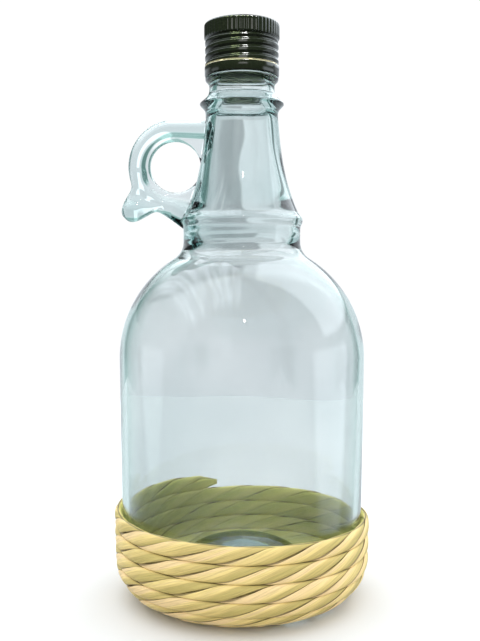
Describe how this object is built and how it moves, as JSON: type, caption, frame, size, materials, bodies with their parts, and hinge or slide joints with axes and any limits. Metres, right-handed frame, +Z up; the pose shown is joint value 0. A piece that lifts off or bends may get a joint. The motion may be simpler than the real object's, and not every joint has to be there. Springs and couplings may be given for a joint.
{
  "type": "wicker jug",
  "caption": "Round green-tinted glass jug with a moulded finger ring at the neck, a black roll-on screw cap with a tear-off band, and a twisted wicker foot.",
  "frame": {"origin": "middle of the wicker foot's underside, where the jug stands", "axes": "+Z up along the bottle's axis, -X towards the finger ring, -Y towards the viewer of the picture"},
  "size_m": [0.1098, 0.1096, 0.2435],
  "materials": {
    "green_glass": "clear moulded glass with a pale green tint",
    "black_lacquer": "glossy black lacquer over thin rolled aluminium",
    "liner_white": "soft white sealing foam",
    "straw": "split willow, pale straw yellow with a faint sheen",
    "straw_dark": "split willow, unpolished"
  },
  "bodies": {
    "jug": {"glass_bottle": "green_glass", "tamper_band": "black_lacquer", "base_mat": "straw_dark", "weaver_a": "straw", "weaver_b": "straw", "weaver_c": "straw", "stake_01": "straw_dark", "stake_02": "straw_dark", "stake_03": "straw_dark", "stake_04": "straw_dark", "stake_05": "straw_dark", "stake_06": "straw_dark", "stake_07": "straw_dark", "stake_08": "straw_dark", "stake_09": "straw_dark", "stake_10": "straw_dark", "stake_11": "straw_dark", "stake_12": "straw_dark", "stake_13": "straw_dark", "stake_14": "straw_dark", "stake_15": "straw_dark", "stake_16": "straw_dark", "stake_17": "straw_dark", "stake_18": "straw_dark"},
    "liner": {"cap_liner": "liner_white"},
    "cap": {"cap_shell": "black_lacquer"}
  },
  "joints": [
    {"name": "cap_lift", "type": "slide", "parent": "jug", "child": "liner", "axis": [0, 0, 1], "range_m": [0, 0.0048]},
    {"name": "cap_turn", "type": "hinge", "parent": "liner", "child": "cap", "pos_m": [0, 0, 0], "axis": [0, 0, 1], "range_deg": [0, 540]}
  ],
  "couplings": [
    {"joint": "cap_lift", "follows": "cap_turn", "m_per_rad": 0.00050532}
  ]
}
